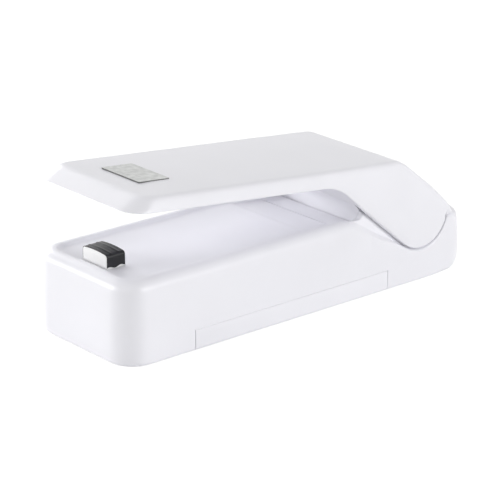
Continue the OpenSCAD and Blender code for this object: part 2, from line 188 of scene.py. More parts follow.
def keepModifiers(piece, sharpAngle=40):
    bpy.context.view_layer.update()
    evaluated = piece.evaluated_get(bpy.context.evaluated_depsgraph_get())
    mesh = bpy.data.meshes.new_from_object(evaluated)
    piece.modifiers.clear()
    piece.data = mesh
    finishShading(piece, sharpAngle)


def addThickness(piece, thickness):
    solid = piece.modifiers.new("wall", "SOLIDIFY")
    solid.thickness = thickness * mm
    solid.offset = -1
    keepModifiers(piece)


def addBevel(piece, width, segments=3):
    bevel = piece.modifiers.new("edges", "BEVEL")
    bevel.width = width * mm
    bevel.segments = segments
    bevel.limit_method = "ANGLE"
    bevel.angle_limit = math.radians(35)
    keepModifiers(piece)


def cutBox(piece, low, high):
    corners = [(x, y, z) for x in (low[0], high[0]) for y in (low[1], high[1]) for z in (low[2], high[2])]
    faces = [(0, 1, 3, 2), (4, 6, 7, 5), (0, 4, 5, 1), (2, 3, 7, 6), (0, 2, 6, 4), (1, 5, 7, 3)]
    mesh = bpy.data.meshes.new("cutter")
    mesh.from_pydata([tuple(c * mm for c in p) for p in corners], [], faces)
    cutter = bpy.data.objects.new("cutter", mesh)
    bpy.context.scene.collection.objects.link(cutter)
    cut = piece.modifiers.new("cut", "BOOLEAN")
    cut.operation = "DIFFERENCE"
    cut.solver = "EXACT"
    cut.object = cutter
    keepModifiers(piece)
    bpy.data.objects.remove(cutter)


def skinBetween(rows, closed=False):
    faces = []
    pairs = list(zip(rows, rows[1:])) + ([(rows[-1], rows[0])] if closed else [])
    for a, b in pairs:
        for i in range(len(a) - 1):
            faces.append((a[i], a[i + 1], b[i + 1], b[i]))
    return faces


def prism(outline, low, high, axis=0):
    # extrudes an outline between two values along x (0) or y (1), and returns points and faces
    count = len(outline)
    points = []
    for value in (low, high):
        for a, b in outline:
            points.append((value, a, b) if axis == 0 else (a, value, b))
    faces = [tuple(range(count)), tuple(range(2 * count - 1, count - 1, -1))]
    for i in range(count):
        j = (i + 1) % count
        faces.append((i, j, count + j, count + i))
    return points, faces


def merged(parts):
    points, faces = [], []
    for partPoints, partFaces in parts:
        start = len(points)
        points += partPoints
        faces += [tuple(start + i for i in face) for face in partFaces]
    return points, faces


# a shader group with named float sockets, laid out in the piece's own coordinates
def newGroup(name, inputs, outputs):
    group = bpy.data.node_groups.new(name, "ShaderNodeTree")
    for label, value in inputs:
        socket = group.interface.new_socket(name=label, in_out="INPUT", socket_type="NodeSocketFloat")
        socket.default_value = value
    for label in outputs:
        group.interface.new_socket(name=label, in_out="OUTPUT", socket_type="NodeSocketFloat")
    start = group.nodes.new("NodeGroupInput")
    end = group.nodes.new("NodeGroupOutput")
    place = group.nodes.new("ShaderNodeTexCoord").outputs["Object"]
    return group, start, end, place


def mathNode(tree, operation, first, second=None, third=None):
    node = tree.nodes.new("ShaderNodeMath")
    node.operation = operation
    for socket, value in zip(node.inputs, (first, second, third)):
        if isinstance(value, (int, float)):
            socket.default_value = value
        elif value is not None:
            tree.links.new(value, socket)
    return node.outputs[0]


def noiseNode(tree, place, scale, detail=3.0, stretch=None):
    noise = tree.nodes.new("ShaderNodeTexNoise")
    noise.inputs["Detail"].default_value = detail
    if stretch:
        mapping = tree.nodes.new("ShaderNodeMapping")
        mapping.inputs["Scale"].default_value = stretch
        tree.links.new(place, mapping.inputs["Vector"])
        place = mapping.outputs["Vector"]
    tree.links.new(place, noise.inputs["Vector"])
    if isinstance(scale, (int, float)):
        noise.inputs["Scale"].default_value = scale
    else:
        tree.links.new(scale, noise.inputs["Scale"])
    return noise.outputs["Fac"]


def moulding():
    # fine spark grain, slow flow mottle and faint handling scuffs of moulded plastic
    group, start, end, place = newGroup("moulding", [("Grain", 9000.0), ("Scuffs", 0.5)],
                                        ["Height", "Mottle", "Scuff"])
    grain = noiseNode(group, place, start.outputs["Grain"], 2.0)
    group.links.new(grain, end.inputs["Height"])
    group.links.new(noiseNode(group, place, 55.0, 4.0), end.inputs["Mottle"])
    lines = noiseNode(group, place, 900.0, 2.0, (1.0, 0.06, 0.3))
    patches = noiseNode(group, place, 120.0, 2.0)
    marks = mathNode(group, "MULTIPLY", mathNode(group, "GREATER_THAN", lines, 0.66),
                     mathNode(group, "GREATER_THAN", patches, 0.55))
    group.links.new(mathNode(group, "MULTIPLY", marks, start.outputs["Scuffs"]), end.inputs["Scuff"])
    return group


def drawnMetal():
    # fine drawing lines and small dull spots of plated or stamped metal
    group, start, end, place = newGroup("drawnMetal", [("Lines", 4000.0)], ["Height", "Spots"])
    lines = noiseNode(group, place, start.outputs["Lines"], 2.0, (1.0, 1.0, 0.15))
    group.links.new(lines, end.inputs["Height"])
    group.links.new(noiseNode(group, place, 700.0, 4.0), end.inputs["Spots"])
    return group


def clothWeave():
    # plain weave of coated glass cloth: crossing ribs and a slow sheen change
    group, start, end, place = newGroup("clothWeave", [("Threads", 2600.0)], ["Height", "Sheen"])
    split = group.nodes.new("ShaderNodeSeparateXYZ")
    group.links.new(place, split.inputs[0])
    waves = []
    for axis in ("X", "Y"):
        turns = mathNode(group, "MULTIPLY", split.outputs[axis], start.outputs["Threads"])
        waves.append(mathNode(group, "ABSOLUTE", mathNode(group, "SINE", turns)))
    group.links.new(mathNode(group, "MAXIMUM", *waves), end.inputs["Height"])
    group.links.new(noiseNode(group, place, 420.0, 3.0), end.inputs["Sheen"])
    return group


groups = {"moulding": moulding(), "drawnMetal": drawnMetal(), "clothWeave": clothWeave()}


# materials start from plain shader values, and the groups above feed their colour, roughness and bump
def newMaterial(name, settings):
    material = bpy.data.materials.new(name)
    material.use_nodes = True
    shader = material.node_tree.nodes["Principled BSDF"]
    for socket, value in settings.items():
        shader.inputs[socket].default_value = value
    return material, material.node_tree, shader


def placeGroup(tree, name, values):
    node = tree.nodes.new("ShaderNodeGroup")
    node.node_tree = groups[name]
    for label, value in values.items():
        node.inputs[label].default_value = value
    return node.outputs


def tintBetween(tree, shader, factor, dark, light):
    ramp = tree.nodes.new("ShaderNodeValToRGB")
    ramp.color_ramp.elements[0].position = 0.3
    ramp.color_ramp.elements[0].color = (*dark, 1)
    ramp.color_ramp.elements[1].position = 0.7
    ramp.color_ramp.elements[1].color = (*light, 1)
    tree.links.new(factor, ramp.inputs[0])
    tree.links.new(ramp.outputs[0], shader.inputs["Base Color"])


def rangeTo(tree, factor, low, high, socket):
    tree.links.new(mathNode(tree, "MULTIPLY_ADD", factor, high - low, low), socket)


def bumpFrom(tree, shader, height, depth):
    bump = tree.nodes.new("ShaderNodeBump")
    bump.inputs["Distance"].default_value = depth * mm
    bump.inputs["Strength"].default_value = 1.0
    tree.links.new(height, bump.inputs["Height"])
    tree.links.new(bump.outputs[0], shader.inputs["Normal"])


def plastic(name, colour, roughness, grainDepth=0.004, grain=9000.0, scuffs=0.12, variation=0.015):
    material, tree, shader = newMaterial(name, {"IOR": 1.5, "Specular IOR Level": 0.5})
    mould = placeGroup(tree, "moulding", {"Grain": grain, "Scuffs": scuffs})
    dark = [c * (1 - variation) for c in colour]
    light = [min(1.0, c * (1 + variation)) for c in colour]
    tintBetween(tree, shader, mould["Mottle"], dark, light)
    wear = mathNode(tree, "ADD", mathNode(tree, "MULTIPLY", mould["Mottle"], 0.5), mould["Scuff"])
    rangeTo(tree, wear, roughness - 0.06, roughness + 0.1, shader.inputs["Roughness"])
    bumpFrom(tree, shader, mould["Height"], grainDepth)
    return material


def metal(name, colour, roughness, lines=4000.0, depth=0.003):
    material, tree, shader = newMaterial(name, {"Metallic": 1.0})
    drawn = placeGroup(tree, "drawnMetal", {"Lines": lines})
    tintBetween(tree, shader, drawn["Spots"], [c * 0.88 for c in colour], colour)
    rangeTo(tree, drawn["Spots"], roughness - 0.08, roughness + 0.12, shader.inputs["Roughness"])
    bumpFrom(tree, shader, drawn["Height"], depth)
    return material


def releaseTape(name):
    material, tree, shader = newMaterial(name, {"IOR": 1.38})
    weave = placeGroup(tree, "clothWeave", {"Threads": 9000.0})
    tintBetween(tree, shader, weave["Sheen"], (0.004, 0.004, 0.005), (0.012, 0.012, 0.016))
    rangeTo(tree, weave["Sheen"], 0.24, 0.42, shader.inputs["Roughness"])
    bumpFrom(tree, shader, weave["Height"], 0.01)
    return material


def silverFoil(name):
    material, tree, shader = newMaterial(name, {"Metallic": 0.35})
    drawn = placeGroup(tree, "drawnMetal", {"Lines": 2600.0})
    tintBetween(tree, shader, drawn["Spots"], (0.52, 0.53, 0.52), (0.74, 0.75, 0.74))
    rangeTo(tree, drawn["Spots"], 0.32, 0.52, shader.inputs["Roughness"])
    bumpFrom(tree, shader, drawn["Height"], 0.01)
    return material


def siliconeRubber(name):
    material, tree, shader = newMaterial(name, {"IOR": 1.41, "Subsurface Weight": 0.2,
                                                "Subsurface Scale": 1.5 * mm})
    mould = placeGroup(tree, "moulding", {"Grain": 5000.0, "Scuffs": 0.0})
    tintBetween(tree, shader, mould["Mottle"], (0.7, 0.72, 0.74), (0.78, 0.8, 0.82))
    rangeTo(tree, mould["Mottle"], 0.4, 0.55, shader.inputs["Roughness"])
    bumpFrom(tree, shader, mould["Height"], 0.006)
    return material


materials = {
    "shell": plastic("satinShell", (0.925, 0.922, 0.965), 0.34),
    "screw_steel": metal("platedScrew", (0.62, 0.62, 0.64), 0.34),
    "spring_steel": metal("springWire", (0.66, 0.66, 0.68), 0.3),
    "pin_steel": metal("groundPin", (0.7, 0.7, 0.72), 0.22),
    "tray": plastic("blackTray", (0.03, 0.03, 0.034), 0.5, grainDepth=0.01, variation=0.1),
    "guide": plastic("paleGuide", (0.72, 0.72, 0.74), 0.45),
    "cell_wrap": plastic("cellWrap", (0.03, 0.13, 0.07), 0.3, grainDepth=0.002, variation=0.05),
    "contact": metal("stampedBrass", (0.8, 0.62, 0.3), 0.3),
    "lead_red": plastic("redLead", (0.5, 0.02, 0.02), 0.45, variation=0.05),
    "lead_black": plastic("blackLead", (0.02, 0.02, 0.02), 0.45, variation=0.1),
    "silicone": siliconeRubber("pressSilicone"),
    "label": silverFoil("silverFoil"),
    "block": plastic("heatBlock", (0.9, 0.9, 0.9), 0.5),
    "heater_wire": metal("heaterWire", (0.5, 0.46, 0.42), 0.4),
    "tape": releaseTape("releaseTape"),
}
# dark grey paint for the label's side faces: painted shadow of the thin gap round the plate
labelGapShade = plastic("labelGapShade", (0.12, 0.12, 0.12), 0.5)
print("stage: materials ready")


def dress(piece, slot):
    piece.data.materials.clear()
    piece.data.materials.append(materials[slot])


# casing of the base; a pair with From or To is the stretch along y over which a feature grows or fades
base = {
    "cornerRadius": 7.0, "wall": 0.8, "columns": 10, "arcSteps": 12,
    "footInset": 1.8, "footRear": 4.6, "footFront": 1.1,
    "footWide": 1.1, "footWiden": 0.6, "footFrom": (42, 50),
    "draft": 0.5, "draftStart": 8.0, "draftRun": 12, "tailLean": 1.3, "tailFrom": (51, 54),
    "rimFlat": 0.4, "dishRun": 1.2, "dishDepth": 0.7,
    "cheekFrom": (13.5, 18.5), "cheekTo": (46.2, 47.6), "bevelWide": 1.45, "bevelTo": (24, 29),
    "lugOut": 1.9, "lugIn": 3.6, "lugRise": 1.0, "lugDrop": 0.4, "lugFrom": (18.4, 19.8), "lugLeast": 0.6,
    "bead": 0.2, "rampDrop": 0.45, "lipDrop": 0.5, "groove": (0.7, 1.2),
    "ledge": 15.3, "troughFront": hinge.x - 18.3, "troughBack": hinge.x + 8.0, "troughFloor": 9.5,
    "slotRoom": (0.15, 0.22),  # round the head, in x and y
    "doorRoom": (0.2, 0.09, 0.08),  # before, behind and above the door
}
legLine = offsetPath([turned(p, closeAngle) for p in (elbow, legBend, legEnd)], gap)
rimReach = (rimHeight - legLine[0].y) / (legLine[1].y - legLine[0].y)
rimTurn = legLine[0].lerp(legLine[1], rimReach)
arcStart = math.atan2(legLine[2].y - hinge.y, legLine[2].x - hinge.x) + 2 * math.pi
arcEnd = 2 * math.pi - math.asin((hinge.y - base["ledge"]) / (barrelRadius + gap))
rimLine = roundedPath([Vector((-halfLength - 1, rimHeight)), rimTurn, legLine[1], legLine[2]], [3.0, 2.0])
rimLine += arcPath(hinge, barrelRadius + gap, arcStart, arcEnd, 24)
rimLine.append(Vector((halfLength + 1, base["ledge"])))
rimTable = [tuple(p) for p in rimLine]
filletTable = [(-60, 2.8), (14, 2.8), (19, 1.6), (24, 1.2), (30, 0.7), (46, 0.6), (49.5, 1.4), (60, 1.4)]
dishLevel = rimHeight - base["dishDepth"]
lip = hinge + Vector((-25, 0.9))
recess = lip.y - base["lipDrop"]
dishEnd = Vector((hinge.x - 35, dishLevel))  # a low bead crosses the deck here, before the ramp
grooveWide, grooveDeep = base["groove"]
floorCorners = [
    Vector((-halfLength, dishLevel)), dishEnd - Vector((1.2, 0)), dishEnd + Vector((-0.5, base["bead"])),
    dishEnd + Vector((0.4, -base["rampDrop"])), lip, lip + Vector((0.1, -grooveDeep)),
    lip + Vector((grooveWide, -grooveDeep)), Vector((lip.x + grooveWide + 0.2, recess)),
    Vector((base["troughFront"], recess)),
]
floorTable = [tuple(p) for p in roundedPath(floorCorners, [0.3, 0.3, 0.3, 0.15, 0.1, 0.1, 0.2], 5)]
lugPath = offsetPath([noseLow, elbow, legBend, legEnd], -1.2)
lugTable = [tuple(p) for p in roundedPath(lugPath[1:], [2.0])]


def rimAt(y):
    return valueAt(rimTable, y)


def floorAt(y):
    if y > base["troughBack"]:
        return base["ledge"]
    if y > base["troughFront"] + 0.05:
        return min(base["troughFloor"], rimAt(y) - 1.0)
    return valueAt(floorTable, y)


def baseSection(y):
    # inset and height of each point from the foot, up the outside and over to the deck
    top = rimAt(y)
    fillet = valueAt(filletTable, y)
    footShare = smooth(*base["footFrom"], y)
    footHigh = base["footFront"] + (base["footRear"] - base["footFront"]) * footShare
    footWide = base["footWide"] + base["footWiden"] * footShare
    points = [(base["footInset"], 0.0)]
    for i in range(6):
        a = math.pi / 2 * i / 5
        points.append((footWide * (1 - math.sin(a)), footHigh * (1 - math.cos(a))))
    shoulder = top - fillet
    lean = base["tailLean"] * smooth(*base["tailFrom"], y)

    def draftAt(z):
        return (base["draft"] + lean) * clamp((z - base["draftStart"]) / base["draftRun"]) ** 1.5

    for i in (1, 2, 3):
        z = footHigh + (shoulder - footHigh) * i / 4
        points.append((draftAt(z), z))
    # the round edge turns into a straight bevel beside the cheek, where the lug rises behind it
    share = smooth(*base["cheekFrom"], y) * (1 - smooth(*base["cheekTo"], y))
    straight = share * (1 - smooth(*base["bevelTo"], y))
    start = draftAt(shoulder)
    crest = start + fillet + (base["bevelWide"] - start - fillet) * straight
    for i in range(8):
        a = math.pi / 2 * i / 7
        across = (1 - math.cos(a)) * (1 - straight) + straight * i / 7
        upward = math.sin(a) * (1 - straight) + straight * i / 7
        points.append((start + (crest - start) * across, shoulder + fillet * upward))
    level = floorAt(y)
    flat = base["rimFlat"]
    plain = [(crest + flat * i / 6, top) for i in range(1, 7)]
    for t in (0.25, 0.5, 0.75, 1.0):
        plain.append((crest + flat + base["dishRun"] * t, top + (level - top) * smooth(0, 1, t)))
    lugTop = rimHeight - base["lugDrop"] + (base["lugRise"] + base["lugDrop"]) * smooth(*base["lugFrom"], y)
    if y > lugTable[0][0]:
        lugTop = min(lugTop, max(valueAt(lugTable, y), top + base["lugLeast"]))
    out, inner = base["lugOut"], base["lugIn"]
    rise = lugTop - top
    foot = max(crest, base["bevelWide"])
    lugged = [(foot + (out - foot) * t, top + rise * t) for t in (0.1, 0.4, 0.7, 0.9)]
    lugged += [(out + 0.15, lugTop - 0.05 * rise), (out + 0.5, lugTop), (inner - 0.4, lugTop),
               (inner - 0.1, lugTop - 0.1), (inner, lugTop - 0.4), (inner, level)]
    for a, b in zip(plain, lugged):
        points.append((a[0] + (b[0] - a[0]) * share, a[1] + (b[1] - a[1]) * share))
    return points


def sideStops():
    # where the cross-sections stand along a side, closer together where the deck or the rim bends
    radius = base["cornerRadius"]
    stops = [-halfLength + radius + 2.0 * i for i in range(1, 25)]
    stops += [1.5, 2.2, 3.0, 3.8, 4.6, 6, 8, 10, 11.5, 12.6, 12.9, 13.0, 13.1, 13.3, 13.7]
    stops += [14.2 + 0.6 * i for i in range(14)]
    stops += [base["troughFront"] + 0.02, base["troughFront"] + 0.1]
    stops += [23.4 + 0.7 * i for i in range(34)]
    stops += [base["troughBack"] - 0.05, base["troughBack"] + 0.05, 46.6, 47.2, 47.7]
    limit = halfLength - radius
    stops = sorted(s for s in set(round(s, 3) for s in stops) if -limit < s < limit)
    kept = [stops[0]]
    for stop in stops[1:]:
        if stop - kept[-1] > 0.03:
            kept.append(stop)
    return kept


def basePlan():
    # samples along one side, as place and outward direction, from the front flat to the rear one
    radius = base["cornerRadius"]
    steps = base["arcSteps"]
    samples = []
    x = halfWidth - radius
    for i in range(1, steps + 1):
        a = math.pi / 2 * i / steps
        n = Vector((math.sin(a), -math.cos(a)))
        samples.append((Vector((x, -halfLength + radius)) + radius * n, n))
    for y in sideStops():
        samples.append((Vector((halfWidth, y)), Vector((1, 0))))
    for i in range(steps):
        a = math.pi / 2 * i / steps
        n = Vector((math.cos(a), math.sin(a)))
        samples.append((Vector((x, halfLength - radius)) + radius * n, n))
    return samples


def makeBaseShell():
    columns = base["columns"]
    flat = halfWidth - base["cornerRadius"]
    right = basePlan()
    left = [(Vector((-p.x, p.y)), Vector((-n.x, n.y))) for p, n in right]
    across = [flat * j / columns for j in range(-columns, columns + 1)]
    front = [(Vector((x, -halfLength)), Vector((0, -1))) for x in across]
    rear = [(Vector((x, halfLength)), Vector((0, 1))) for x in reversed(across)]
    loop = front + right + rear + left[::-1]
    points, rings = [], []
    for place, outward in loop:
        ring = []
        for inset, height in baseSection(place.y):
            spot = place - outward * inset
            ring.append(len(points))
            points.append((spot.x, spot.y, height))
        rings.append(ring)
    faces = skinBetween(rings, closed=True)
    rows = [[ring[-1] for ring in rings[:len(front)]]]
    rightRings = rings[len(front):len(front) + len(right)]
    leftRings = rings[len(front) + len(right) + len(rear):][::-1]
    for a, b in zip(leftRings, rightRings):
        x, y, z = points[b[-1]]
        row = [a[-1]]
        for j in range(-columns + 1, columns):
            row.append(len(points))
            points.append((x * j / columns, y, z))
        rows.append(row + [b[-1]])
    rearRings = rings[len(front) + len(right):len(front) + len(right) + len(rear)]
    rows.append([ring[-1] for ring in rearRings][::-1])
    for a, b in zip(rows, rows[1:]):
        middle = (points[a[0]][1] + points[b[0]][1]) / 2
        if base["troughFront"] + 0.01 < middle < base["troughBack"]:
            continue
        faces += skinBetween([a, b])
    shell = newPiece("baseShell", points, faces, "base", "shell", ["base_housing"])
    addThickness(shell, base["wall"])
    low, high = nodeBox("ptfe_tape")
    roomX, roomY = base["slotRoom"]
    cutBox(shell, (low.x - roomX, low.y - roomY, 15), (high.x + roomX, high.y + roomY, 25))
    before, behind, above = base["doorRoom"]
    cutBox(shell, (halfWidth - 3, doorLow.y - before, -2),
           (halfWidth + 3, doorHigh.y + behind, doorHigh.z + above))
    dress(shell, "shell")


makeBaseShell()
print("stage: base shell")


# hinge lugs that stand inside the cheeks: a disc round the pin on a foot that widens to the front
lugs = {"outer": halfWidth - 1.85, "inner": halfWidth - 3.55, "radius": 4.6, "foot": 2.0,
        "front": hinge.x - 12, "frontTop": 12.5, "rearRun": 2, "discFrom": 215, "discTo": -35, "edge": 0.3}


def makeHingeLugs():
    radius, foot, front = lugs["radius"], lugs["foot"], lugs["front"]
    disc = arcPath(hinge, radius, math.radians(lugs["discFrom"]), math.radians(lugs["discTo"]), 28)
    outline = [Vector((front, foot)), Vector((front, lugs["frontTop"]))]
    outline += disc + [Vector((hinge.x + radius + lugs["rearRun"], foot))]
    parts = []
    for side in (-1, 1):
        low, high = sorted((side * lugs["inner"], side * lugs["outer"]))
        parts.append(prism(outline, low, high))
    piece = newPiece("hingeLugs", *merged(parts), "base", "shell", ["base_housing"])
    addBevel(piece, lugs["edge"])
    dress(piece, "shell")


makeHingeLugs()
print("stage: hinge lugs")


# battery door: a panel that wraps under the base, with a plate and a thinner, longer flap behind it
door = {"edge": 0.12, "foot": 1.1, "plate": 1.5, "sideWall": 1.8, "tongue": 1.2,
        "flapLow": 0.7, "overlap": 0.2}


def makeBatteryDoor():
    top = doorHigh.z
    outer = doorHigh.x
    inner = outer - door["sideWall"]
    foot = door["foot"]
    corner = [(outer - foot * (1 - math.sin(a)), foot * (1 - math.cos(a)))
              for a in [math.pi / 2 * i / 5 for i in range(6)]]
    panel = [(inner, 0.0)] + corner + [(outer, top), (inner, top)]
    tongue, plateTop, flapLow = door["tongue"], door["plate"], door["flapLow"]
    reach = inner + door["overlap"]
    plate = [(doorLow.x, 0.0), (reach, 0.0), (reach, plateTop), (doorLow.x, plateTop)]
    flap = [(doorLow.x, flapLow), (reach, flapLow), (reach, plateTop), (doorLow.x, plateTop)]
    parts = [prism(panel, doorLow.y, doorHigh.y, 1),
             prism(plate, doorLow.y + tongue, doorHigh.y - tongue, 1),
             prism(flap, doorLow.y, doorHigh.y, 1)]
    piece = newPiece("batteryDoor", *merged(parts), "battery_door", "shell", ["battery_door"])
    addBevel(piece, door["edge"])
    dress(piece, "shell")


makeBatteryDoor()
print("stage: battery door")


# hollow shell of the arm, with a slanted nose and two cheeks that end in the hinge barrel
arm = {
    "wall": 1.4, "columns": 10, "noseRadius": 5.0, "topNoseRadius": 4.0, "arcSteps": 10,
    "frontLean": 4.9, "sideLean": 1.4, "edgeDrop": 0.5, "crown": 0.42, "edgeRound": 0.45,
    "fillet": 1.6, "stations": 96, "noseWall": 3.0, "noseDeep": 1.4,
    "kneeAt": 15.0,  # where along the top the elbow's cross-section meets it
}
topBack = hinge + Vector((-5.5, 15.3 - arm["edgeDrop"]))
rearBulge = hinge + Vector((5.6, 5.7))
knuckleBack = hinge + Vector((11.0, 0.5))
knuckleEnd = Vector((armHigh.y, 15.6))


def edgeHeight(y):
    return topBack.y + (topBack.x - y) * topSlope


def armPaths():
    radius = arm["noseRadius"]
    y = armLow.y + radius
    under = roundedPath([Vector((y, underHeight(y))), elbow, legBend, legEnd], [4.5, 2.5])
    heel = 2 * math.pi - math.asin((hinge.y - knuckleEnd.y) / barrelRadius)
    under += arcPath(hinge, barrelRadius, legTouch, heel, 30)[1:]
    under.append(Vector((knuckleEnd.x - 1.6, knuckleEnd.y)))
    y = armLow.y + arm["frontLean"] + arm["topNoseRadius"]
    over = roundedPath([Vector((y, edgeHeight(y))), topBack, rearBulge, knuckleBack, knuckleEnd],
                       [2.6, 3.4, 1.4], 10)
    return under, over


def armStations():
    under, over = armPaths()
    underSums, overSums = lengthsAlong(under), lengthsAlong(over)
    pairs = [(0.0, 0.0), (nearestAlong(under, underSums, elbow), arm["kneeAt"] - over[0].x)]
    for low, high in ((legEnd, topBack), (hinge - Vector((0, barrelRadius)), rearBulge),
                      (under[-2], knuckleBack)):
        pairs.append((nearestAlong(under, underSums, low), nearestAlong(over, overSums, high)))
    pairs.append((underSums[-1], overSums[-1]))
    within = offsetPath(over, arm["wall"])
    withinSums = lengthsAlong(within)
    stations = []
    for i in range(1, arm["stations"] + 1):
        where = underSums[-1] * i / arm["stations"]
        crestAt = valueAt(pairs, where)
        share = crestAt / overSums[-1]
        stations.append((pointAlong(under, underSums, where), pointAlong(over, overSums, crestAt),
                         pointAlong(within, withinSums, share * withinSums[-1])))
    return stations


def armSamples():
    # lower and upper edge points with their outward directions, along one side from the front flat
    samples = []
    steps = arm["arcSteps"]
    low, high = arm["noseRadius"], arm["topNoseRadius"]
    lowX = halfWidth
    highX = halfWidth - arm["sideLean"]
    for i in range(1, steps + 1):
        a = math.pi / 2 * i / steps
        n = Vector((math.sin(a), -math.cos(a), 0))
        foot = Vector((lowX - low + low * n.x, armLow.y + low + low * n.y, 0))
        foot.z = underHeight(foot.y)
        crest = Vector((highX - high + high * n.x, armLow.y + arm["frontLean"] + high + high * n.y, 0))
        crest.z = edgeHeight(crest.y)
        deep = arm["wall"] + (arm["noseDeep"] - arm["wall"]) * clamp(-n.y)
        within = crest - n * deep
        within.z = edgeHeight(within.y) - arm["wall"]
        samples.append((foot, crest, within, n))
    for foot, crest, within in armStations():
        samples.append((Vector((lowX, foot.x, foot.y)), Vector((highX, crest.x, crest.y)),
                        Vector((highX - arm["wall"], within.x, within.y)), Vector((1, 0, 0))))
    return samples


def armSection(foot, crest, within, outward):
    # from the inside of the top, down the inner wall, round the lower edge and up to the top again
    run = (crest - foot).length
    edge = min(arm["edgeRound"], run / 3) / run
    fillet = min(arm["fillet"], run * 0.55)
    bend = 1 + 1.5 * clamp((run - 4) / 10) * abs(outward.x) ** 8

    def along(t):
        spot = foot.lerp(crest, t)
        spot.x = foot.x + (crest.x - foot.x) * t ** bend
        return spot

    deep = arm["wall"] + (arm["noseWall"] - arm["wall"]) * clamp(-outward.y)
    rim = foot - outward * deep
    rim.z = foot.z
    points = [within - outward * fillet, within, within.lerp(rim, 0.5), rim]
    points += curveThrough(foot - outward * edge * run, foot, along(edge), 3)
    last = 1 - fillet / run
    for t in (0.2, 0.4, 0.6, 0.8, 1.0):
        points.append(along(edge + (last - edge) * t))
    inward = crest - outward * fillet
    if abs(outward.x) < 0.999:  # on the nose and its corners the top slopes across the section
        inward.z = edgeHeight(inward.y)
        points[0].z = inward.z - arm["wall"]
    points += curveThrough(along(last), crest, inward, 7)[1:]
    return points


def crownAt(y):
    rise = smooth(armLow.y + 6, armLow.y + 16, y)
    fall = smooth(topBack.x - 9, topBack.x - 1, y)
    return arm["crown"] * rise * (1 - fall)


def rowAcross(points, first, last):
    # new points between the two ends of a row, raised towards its middle
    columns = arm["columns"]
    x, y, z = points[last]
    row = [first]
    for j in range(-columns + 1, columns):
        row.append(len(points))
        points.append((x * j / columns, y, z + crownAt(y) * (1 - (j / columns) ** 2)))
    return row + [last]


def makeArmShell():
    columns = arm["columns"]
    right = armSamples()
    left = [tuple(Vector((-p.x, p.y, p.z)) for p in sample) for sample in right]
    lowFlat = halfWidth - arm["noseRadius"]
    highFlat = halfWidth - arm["sideLean"] - arm["topNoseRadius"]
    crestY = armLow.y + arm["frontLean"]
    front = []
    for j in range(-columns, columns + 1):
        share = j / columns
        crest = Vector((highFlat * share, crestY, edgeHeight(crestY)))
        within = crest + Vector((0, arm["noseDeep"], -arm["wall"] - arm["noseDeep"] * topSlope))
        front.append((Vector((lowFlat * share, armLow.y, noseLow.y)), crest, within, Vector((0, -1, 0))))
    loop = left[::-1] + front + right
    points, rings = [], []
    for sample in loop:
        rings.append([])
        for spot in armSection(*sample):
            rings[-1].append(len(points))
            points.append(tuple(spot))
    faces = skinBetween(rings)
    middle = rings[len(left):len(left) + len(front)]
    outer, inner = [[ring[-1] for ring in middle]], [[ring[0] for ring in middle]]
    for a, b in zip(rings[:len(left)][::-1], rings[len(left) + len(front):]):
        outer.append(rowAcross(points, a[-1], b[-1]))
        inner.append(rowAcross(points, a[0], b[0]))
    faces += skinBetween(outer) + skinBetween(inner)
    faces += skinBetween([outer[-1], inner[-1]])
    faces += [tuple(rings[0]), tuple(rings[-1])]
    shell = newPiece("armShell", points, faces, "arm", "shell", ["arm_shell"])
    dress(shell, "shell")


makeArmShell()
print("stage: arm shell")


# liner that closes the underside of the arm and the slanted front of its leg
liner = {"recess": 0.5, "thickness": 1.2, "wide": halfWidth - 1.7, "narrow": halfWidth - 3.9,
         "frontY": armLow.y + 11.4, "edge": 0.25, "apronGap": 0.15, "apronDrop": 3.2, "wideEnd": 20.0}


def makeArmLiner():
    start = Vector((liner["frontY"], underHeight(liner["frontY"])))
    corners = offsetPath([start, elbow, legBend, legEnd], -liner["recess"])
    apron = hinge.x - base["troughFront"] - liner["apronGap"]
    steps = [corners[1].lerp(corners[2], i / 200) for i in range(201)]
    turn = min(steps, key=lambda p: abs((p - hinge).length - apron))
    lowTurn = math.pi + math.asin((hinge.y - rimHeight + liner["apronDrop"]) / apron)
    foot = hinge + apron * Vector((math.cos(lowTurn), math.sin(lowTurn)))
    low = roundedPath([corners[0], corners[1], turn, foot], [4.5, 2.4], 8)
    high = offsetPath(low, -liner["thickness"])
    cut = min(range(len(low)), key=lambda i: abs(low[i].x - (hinge.x - liner["wideEnd"])))
    leg = [turn + Vector((0.1, 0.1)), corners[3]]
    strips = [(liner["wide"], low[:cut + 1], high[:cut + 1]), (liner["narrow"], low[cut:], high[cut:]),
              (liner["narrow"] - 0.1, leg, offsetPath(leg, -liner["thickness"]))]
    parts = []
    for half, outer, inner in strips:
        parts.append(prism([tuple(p) for p in outer + inner[::-1]], -half, half))
    piece = newPiece("armLiner", *merged(parts), "arm", "shell", ["arm_liner"])
    addBevel(piece, liner["edge"], 2)
    dress(piece, "shell")


makeArmLiner()
print("stage: arm liner")


# bare plate near the front of the arm's top
label = {"size": (14.6, 9.2), "corner": 0.5, "thickness": 0.3, "proud": 0.14, "edge": 0.06, "steps": 4}


